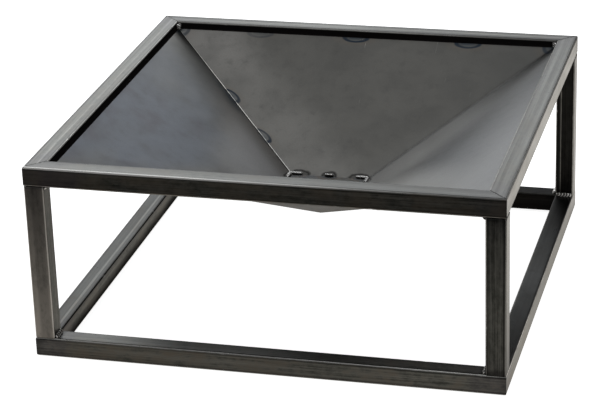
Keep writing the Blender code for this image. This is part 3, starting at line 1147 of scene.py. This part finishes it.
    # Painted highlight: the cut edge brighter towards the bottom.
    bright = finish.fade(reach, RIM_HALF * 0.85, RIM_HALF * 0.65)
    colour = finish.mix(cut, colour, finish.mix(bright, colours.bare, colours.weld_bright_and_highlight))
    colour = finish.mix(below * finish.fade(smears, 0.35, 0.65) * 0.5, colour, colours.light_scale_and_painted_light)
    rough = 0.38 + (clouds - 0.5) * 0.16 + (patches - 0.5) * 0.06 + (grain - 0.5) * 0.08
    rough = rough + (mottles - 0.5) * 0.10 + burnt * 0.2
    finish.bump(grain * 0.6 + patches * 0.4, 0.10, 0.0004)
    at_rim = within * finish.fade(RIM_HALF - reach + (patches - 0.5) * 0.006, 0.005, 0.002)
    matt = (outline * 0.60 + within * 0.12 + at_rim * 0.5) * shown * (1 - below)
    matt = matt * (1 - far_side * 0.85)
    finish.cover(matt, colours.temper_blue)
    return finish.surface(Base_Color=colour, Roughness=rough, Metallic=0.92)


def plate_steel(colours):
    """The floor plate's sheet: as the bowl's, darker and bluer towards its welded edges."""
    finish = Finish("plate_scale")
    point = finish.place()
    x, y, _ = finish.parts(point)
    clouds = finish.noise(point, 18.0, detail=5, roughness=0.55, distortion=0.5)
    grain = finish.noise(point, 700.0, detail=3)
    aside_x = abs(x - PLATE_MIDDLE.x)
    aside_y = abs(y - PLATE_MIDDLE.y)
    reach = finish.math("MAXIMUM", aside_x, aside_y)
    aside = finish.math("MINIMUM", aside_x, aside_y)
    colour = finish.mix(finish.fade(clouds, 0.35, 0.7), colours.scale_brown, colours.scale_blue)
    from_edge = PLATE_HALF - reach
    to_bead = finish.least(aside, (PLATE_HALF - 0.006) - aside)
    rings = finish.length(from_edge / 0.009, to_bead / 0.014) + (clouds - 0.5) * 0.5
    straw = finish.fade(rings, 0.85, 1.02) * finish.fade(rings, 1.7, 1.15)
    blue = finish.fade(rings, 0.2, 0.7) * finish.fade(rings, 1.15, 0.9)
    colour = finish.mix(straw * 0.5, colour, colours.temper_straw)
    colour = finish.mix(blue * 0.3, colour, colours.temper_blue)
    rough = 0.38 + (clouds - 0.5) * 0.2 + (grain - 0.5) * 0.1
    finish.bump(grain * 0.6 + clouds * 0.4, 0.10, 0.0004)
    return finish.surface(Base_Color=colour, Roughness=rough, Metallic=0.92)


def weld_metal(colours):
    """Weld metal: dark oxide in the troughs, bare metal on the crests, and spatter grain."""
    finish = Finish("weld_oxide")
    point = finish.place()
    crest = finish.attribute("crest")
    spots = finish.noise(point, 420.0, detail=3, roughness=0.6)
    clouds = finish.noise(point, 90.0, detail=3)
    bright = finish.fade(crest * 0.8 + spots * 0.5 + clouds * 0.3, 0.66, 1.02)
    colour = finish.mix(bright, colours.weld_dark, colours.weld_bright_and_highlight)
    colour = finish.mix(finish.fade(clouds, 0.5, 0.75) * 0.35, colour, colours.temper_straw)
    rough = 0.44 - bright * 0.24 + (spots - 0.5) * 0.2
    finish.bump(spots, 0.25, 0.0003)
    return finish.surface(Base_Color=colour, Roughness=rough, Metallic=1.0)


def finish_named(context, name):
    """The material of that name, made the first time that it is asked for."""
    made = bpy.data.materials.get(name)
    if made:
        return made
    colours = context.scene.fire_pit_colours
    if name == "bowl_scale":
        return sheet_steel(colours)
    if name == "plate_scale":
        return plate_steel(colours)
    if name == "weld_oxide":
        return weld_metal(colours)
    return tube_steel(name, colours)


# Operators


class FIREPIT_OT_stage(bpy.types.Operator):
    """Set the camera, the pale floor and the soft studio light"""

    bl_idname = "firepit.stage"
    bl_label = "Stage"

    def execute(self, context):
        scene = context.scene
        view = scene.fire_pit_view
        turn = Euler((math.pi / 2 - view.elevation, 0, view.azimuth))
        turn = turn.to_matrix() @ Matrix.Rotation(view.roll, 3, "Z")
        camera = bpy.data.objects.new("camera", bpy.data.cameras.new("camera"))
        camera.data.lens = view.lens
        camera.data.sensor_width = 36.0
        place = Vector(view.aim) + turn @ Vector((0, 0, view.distance))
        camera.matrix_world = Matrix.Translation(place) @ turn.to_4x4()
        scene.collection.objects.link(camera)
        scene.camera = camera
        scene.view_settings.view_transform = "Standard"
        self.add_floor(scene)
        self.add_world(scene)
        lamps = (
            ("overhead_panel", (-0.2, 0.2, 2.4), (-0.1, 0.1, 0.1), 2.6, 2.2, 0.9),
            ("back_panel", (-0.95, 2.7, 1.45), (0.0, 0.0, 0.25), 3.2, 1.5, 1.75),
        )
        for name, place, aim, width, height, glow in lamps:
            light = bpy.data.lights.new(name, "AREA")
            light.color = (0.95, 0.98, 1.0)
            light.shape = "RECTANGLE"
            light.size = width
            light.size_y = height
            # A panel's brightness is its power over its area and pi.
            light.energy = glow * width * height * math.pi
            lamp = bpy.data.objects.new(name, light)
            lamp.visible_camera = False
            lamp.location = place
            lamp.rotation_euler = (Vector(aim) - Vector(place)).to_track_quat("-Z", "Y").to_euler()
            scene.collection.objects.link(lamp)
        return {"FINISHED"}

    def add_floor(self, scene):
        """A pale floor for the eye, and under it the one that shows in the steel, a card that glows in a painted
        pool of light with a painted shadow under the pit.
        """
        pale = scene.fire_pit_colours.floor
        floor = self.flat_sheet(scene, "floor", -0.0004)
        paint = Finish("floor_paint")
        paint.surface(Base_Color=pale, Emission_Color=pale, Emission_Strength=1.05)
        paint.surface(Roughness=0.9, Specular_IOR_Level=0.1)
        floor.data.materials.append(paint.material)
        floor.visible_glossy = False
        floor.visible_diffuse = False
        floor.visible_shadow = False
        card = self.flat_sheet(scene, "reflected_floor", -0.0008)
        paint = Finish("card_paint")
        warm = (0.88, 0.84, 0.78)
        x, y, _ = paint.parts(paint.place())
        # Painted light on the card: it glows in a pool behind the pit with a painted shadow under the pit, and
        # its lit colour fades away in front.
        away = paint.fade(paint.math("MAXIMUM", abs(x), abs(y)), SIDE * 0.36, SIDE * 0.64)
        glow = paint.fade(paint.length(x + 0.2, y - 0.9), 1.95, 0.9) * (away * 0.8 + 0.15)
        colour = paint.mix(glow, (0.0, 0.0, 0.0), warm)
        lit = paint.mix(paint.fade(paint.length(x + 0.2, y - 0.9), 2.15, 1.2), (0.06, 0.06, 0.06), warm)
        paint.surface(Base_Color=lit, Emission_Color=colour, Emission_Strength=1.0)
        paint.surface(Roughness=0.9, Specular_IOR_Level=0.1)
        card.data.materials.append(paint.material)
        card.visible_camera = False
        self.add_flag(scene)

    def add_flag(self, scene):
        """A black card behind the pit that keeps the back panel off the low rail beside it."""
        line = np.linspace(0, 1, 3)
        u, v = np.meshgrid(line, line, indexing="ij")
        points = np.stack([u * 0.85 - 0.2, np.full_like(u, 1.2), v * 0.53], axis=-1)
        flag = bpy.data.objects.new("flag", welded_mesh("flag", points, grid_quads(3, 3)))
        scene.collection.objects.link(flag)
        paint = Finish("flag_paint")
        paint.surface(Base_Color=(0.01, 0.01, 0.01), Roughness=1.0, Specular_IOR_Level=0.0)
        flag.data.materials.append(paint.material)
        flag.visible_camera = False
        flag.visible_diffuse = False
        flag.visible_shadow = False
        flag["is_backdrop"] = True

    def flat_sheet(self, scene, name, height):
        line = np.linspace(-40, 40, 3)
        x, y = np.meshgrid(line, line, indexing="ij")
        points = np.stack([x, y, np.full_like(x, height)], axis=-1)
        sheet = bpy.data.objects.new(name, welded_mesh(name, points, grid_quads(3, 3)))
        scene.collection.objects.link(sheet)
        sheet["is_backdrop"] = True
        return sheet

    def add_world(self, scene):
        world = bpy.data.worlds.new("studio")
        world.use_nodes = True
        background = world.node_tree.nodes["Background"]
        background.inputs["Color"].default_value = (1.0, 1.0, 1.0, 1)
        background.inputs["Strength"].default_value = 0.28
        scene.world = world


class FIREPIT_OT_rails(bpy.types.Operator):
    """Make the eight mitred rails of the base ring and the top ring"""

    bl_idname = "firepit.rails"
    bl_label = "Rails"

    def execute(self, context):
        sizes = context.scene.fire_pit_sizes
        for ring, middle in (("base", TUBE / 2), ("top", HEIGHT - TUBE / 2)):
            for quarter, side in enumerate(SIDES):
                node = f"{ring}_rail_{side}"
                place = rail_place(quarter, middle)
                seed = 10 * quarter + (1 if ring == "base" else 2)
                mesh = tube_mesh(node + "_tube", sizes, seed, SIDE, place, mitred=True)
                material = finish_named(context, ring + "_tube_scale")
                add_piece(node + "_tube", mesh, material, node)
        return {"FINISHED"}


class FIREPIT_OT_posts(bpy.types.Operator):
    """Make the four posts between the rings"""

    bl_idname = "firepit.posts"
    bl_label = "Posts"

    def execute(self, context):
        sizes = context.scene.fire_pit_sizes
        material = finish_named(context, "post_tube_scale")
        for quarter, corner in enumerate(CORNERS):
            node = f"post_{corner}"
            low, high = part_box(node)
            place = post_place(quarter)
            mesh = tube_mesh(node + "_tube", sizes, 50 + quarter, high.z - low.z, place, mitred=False)
            add_piece(node + "_tube", mesh, material, node)
        return {"FINISHED"}


class FIREPIT_OT_bowl(bpy.types.Operator):
    """Make the bowl's two folded sheets"""

    bl_idname = "firepit.bowl"
    bl_label = "Bowl"

    def execute(self, context):
        sizes = context.scene.fire_pit_sizes
        material = finish_named(context, "bowl_scale")
        for node, quarter, drop in (
            ("bowl_sheet_back_right", 0, 0.0),
            ("bowl_sheet_front_left", 2, sizes.seam_step),
        ):
            top, bottom = bowl_surface(sizes, 70 + quarter, drop)
            top, bottom = quarter_turns(top, quarter), quarter_turns(bottom, quarter)
            mesh = shell_mesh(node + "_panel", top, bottom)
            piece = add_piece(node + "_panel", mesh, material, node)
            break_edges(piece, 0.0002)
        return {"FINISHED"}


class FIREPIT_OT_plate(bpy.types.Operator):
    """Make the floor plate"""

    bl_idname = "firepit.plate"
    bl_label = "Floor plate"

    def execute(self, context):
        sizes = context.scene.fire_pit_sizes
        top, bottom = plate_surface(sizes, 90)
        mesh = shell_mesh("floor_plate_sheet", top, bottom)
        material = finish_named(context, "plate_scale")
        piece = add_piece("floor_plate_sheet", mesh, material, "floor_plate")
        break_edges(piece, 0.0004)
        return {"FINISHED"}


class FIREPIT_OT_post_beads(bpy.types.Operator):
    """Make the fillet beads at the feet and heads of the posts"""

    bl_idname = "firepit.post_beads"
    bl_label = "Post beads"

    def execute(self, context):
        sizes = context.scene.fire_pit_sizes
        material = finish_named(context, "weld_oxide")
        step = sizes.ripple_pitch / 6
        for quarter, corner in enumerate(CORNERS):
            for end, level in (("foot", 1), ("head", -1)):
                for rail, number in ((SIDES[quarter], 0), (SIDES[quarter - 1], 1)):
                    node = f"weld_post_{end}_{corner}_on_{rail}_rail"
                    low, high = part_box(node)
                    size = np.array(high - low)
                    middle = np.array(low + high) / 2
                    along = np.eye(3)[size[:2].argmax()]
                    outwards = np.array([[1.0, 0, 0], [0, 1.0, 0]][number])
                    up = unit(quarter_turns(outwards, quarter) + np.array([0, 0, level]))
                    path = straight_path(middle - up * 0.0017, along, size.max() + 0.003, step)
                    seed = 100 + quarter * 8 + number * 4 + level
                    add_bead(node, path, up, 0.0044, 0.0028, sizes, seed, material, coarse=1.9)
        return {"FINISHED"}


class FIREPIT_OT_ring_beads(bpy.types.Operator):
    """Make the upright beads in the inner corners of the top ring"""

    bl_idname = "firepit.ring_beads"
    bl_label = "Ring beads"

    def execute(self, context):
        sizes = context.scene.fire_pit_sizes
        material = finish_named(context, "weld_oxide")
        step = sizes.ripple_pitch / 6
        for quarter, corner in enumerate(CORNERS):
            node = f"weld_ring_{corner}"
            low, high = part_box(node)
            middle = np.array(low + high) / 2
            up = quarter_turns(unit([1, 1, 0]), quarter)
            path = straight_path(middle + up * 0.0005, (0, 0, 1), high.z - low.z + 0.002, step)
            add_bead(node, path, up, 0.0056, 0.0042, sizes, 150 + quarter, material, coarse=1.3)
        return {"FINISHED"}


class FIREPIT_OT_rim_tacks(bpy.types.Operator):
    """Make the tacks under the rim of the bowl"""

    bl_idname = "firepit.rim_tacks"
    bl_label = "Rim tacks"

    def execute(self, context):
        sizes = context.scene.fire_pit_sizes
        material = finish_named(context, "weld_oxide")
        step = sizes.ripple_pitch / 6
        for quarter, side in enumerate(SIDES):
            up = quarter_turns(unit([0, 0.506, -0.862]), quarter)
            along = quarter_turns(np.array([1.0, 0, 0]), quarter)
            for number in (1, 2, 3):
                node = f"weld_rim_{side}_{number}"
                low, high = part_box(node)
                middle = np.array(low + high) / 2 - up * 0.0016
                path = straight_path(middle, along, max(high - low) + 0.002, step)
                seed = 160 + quarter * 3 + number
                add_bead(node, path, up, 0.0044, 0.0026, sizes, seed, material)
        return {"FINISHED"}


class FIREPIT_OT_seam_stitches(bpy.types.Operator):
    """Make the stitches under the bowl's two seams"""

    bl_idname = "firepit.seam_stitches"
    bl_label = "Seam stitches"

    def execute(self, context):
        sizes = context.scene.fire_pit_sizes
        material = finish_named(context, "weld_oxide")
        step = sizes.ripple_pitch / 6
        for quarter, corner in ((0, "back_left"), (2, "front_right")):
            uphill = quarter_turns(unit([-1, 1, SLOPE]), quarter)
            down = quarter_turns(unit([-SLOPE, SLOPE, -2]), quarter)
            for number in (1, 2):
                node = f"weld_seam_{corner}_{number}"
                low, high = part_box(node)
                middle = np.array(low + high) / 2 - down * 0.0021
                path = straight_path(middle, uphill, 0.024, step)
                add_bead(node, path, down, 0.0046, 0.0020, sizes, 180 + quarter + number, material)
        return {"FINISHED"}


class FIREPIT_OT_plate_beads(bpy.types.Operator):
    """Make the beads round the floor plate"""

    bl_idname = "firepit.plate_beads"
    bl_label = "Plate beads"

    def execute(self, context):
        sizes = context.scene.fire_pit_sizes
        material = finish_named(context, "weld_oxide")
        step = sizes.ripple_pitch / 6
        middle = np.array(PLATE_MIDDLE)
        for quarter, (side, corner) in enumerate(zip(SIDES, CORNERS)):
            low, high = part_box(f"weld_plate_{side}")
            up = quarter_turns(unit([0, -0.30, 0.95]), quarter)
            along = quarter_turns(np.array([1.0, 0, 0]), quarter)
            place = np.array(low + high) / 2 - up * 0.0012
            path = straight_path(place, along, max(high - low) + 0.001, step)
            add_bead(f"weld_plate_{side}", path, up, 0.0034, 0.0019, sizes, 200 + quarter, material)
            low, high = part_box(f"weld_plate_{corner}")
            radius = (high.z - low.z) / 2
            leg = high.x - low.x - radius + 0.002
            reach = PLATE_HALF + radius + 0.0003
            bend = quarter_turns(np.array([-reach, -reach, 0.0]), quarter)
            bend = bend + np.array([middle[0], middle[1], (low.z + high.z) / 2 - 0.0012])
            first = quarter_turns(np.array([1.0, 0, 0]), quarter)
            second = quarter_turns(np.array([0, 1.0, 0]), quarter)
            path = bent_path(bend, first, second, leg, 0.004, step)
            add_bead(f"weld_plate_{corner}", path, (0, 0, 1), 0.0030, 0.0020, sizes, 210 + quarter, material)
        return {"FINISHED"}


class FIREPIT_PT_panel(bpy.types.Panel):
    """Lists the pit's pieces and its sizes and colours"""

    bl_idname = "FIREPIT_PT_panel"
    bl_label = "Fire Pit"
    bl_space_type = "VIEW_3D"
    bl_region_type = "UI"
    bl_category = "Fire Pit"

    def draw(self, context):
        layout = self.layout
        for operator in OPERATORS:
            layout.operator(operator.bl_idname, text=operator.bl_label)
        for group in ("fire_pit_sizes", "fire_pit_colours", "fire_pit_view"):
            settings = getattr(context.scene, group)
            box = layout.box()
            for key in settings.bl_rna.properties.keys():
                if key not in ("rna_type", "name"):
                    box.prop(settings, key)


GROUPS = (
    ("fire_pit_sizes", FirePitSizes),
    ("fire_pit_colours", FirePitColours),
    ("fire_pit_view", FirePitView),
)
OPERATORS = (
    FIREPIT_OT_stage,
    FIREPIT_OT_rails,
    FIREPIT_OT_posts,
    FIREPIT_OT_bowl,
    FIREPIT_OT_plate,
    FIREPIT_OT_post_beads,
    FIREPIT_OT_ring_beads,
    FIREPIT_OT_rim_tacks,
    FIREPIT_OT_seam_stitches,
    FIREPIT_OT_plate_beads,
)


def register():
    for name, group in GROUPS:
        bpy.utils.register_class(group)
        setattr(bpy.types.Scene, name, bpy.props.PointerProperty(type=group))
    for operator in OPERATORS:
        bpy.utils.register_class(operator)
    bpy.utils.register_class(FIREPIT_PT_panel)


def unregister():
    bpy.utils.unregister_class(FIREPIT_PT_panel)
    for operator in reversed(OPERATORS):
        bpy.utils.unregister_class(operator)
    for name, group in reversed(GROUPS):
        delattr(bpy.types.Scene, name)
        bpy.utils.unregister_class(group)


def main():
    register()
    for thing in list(bpy.data.objects):
        if thing.name in ("Cube", "Light", "Camera"):
            bpy.data.objects.remove(thing)
    bpy.ops.firepit.stage()
    bpy.ops.firepit.rails()
    bpy.ops.firepit.posts()
    bpy.ops.firepit.bowl()
    bpy.ops.firepit.plate()
    bpy.ops.firepit.post_beads()
    bpy.ops.firepit.ring_beads()
    bpy.ops.firepit.rim_tacks()
    bpy.ops.firepit.seam_stitches()
    bpy.ops.firepit.plate_beads()
    boxes = {"cad": CAD_BOX, "visual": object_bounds()}
    lists = {key: [list(corner) for corner in box] for key, box in boxes.items()}


if __name__ == "__main__":
    main()
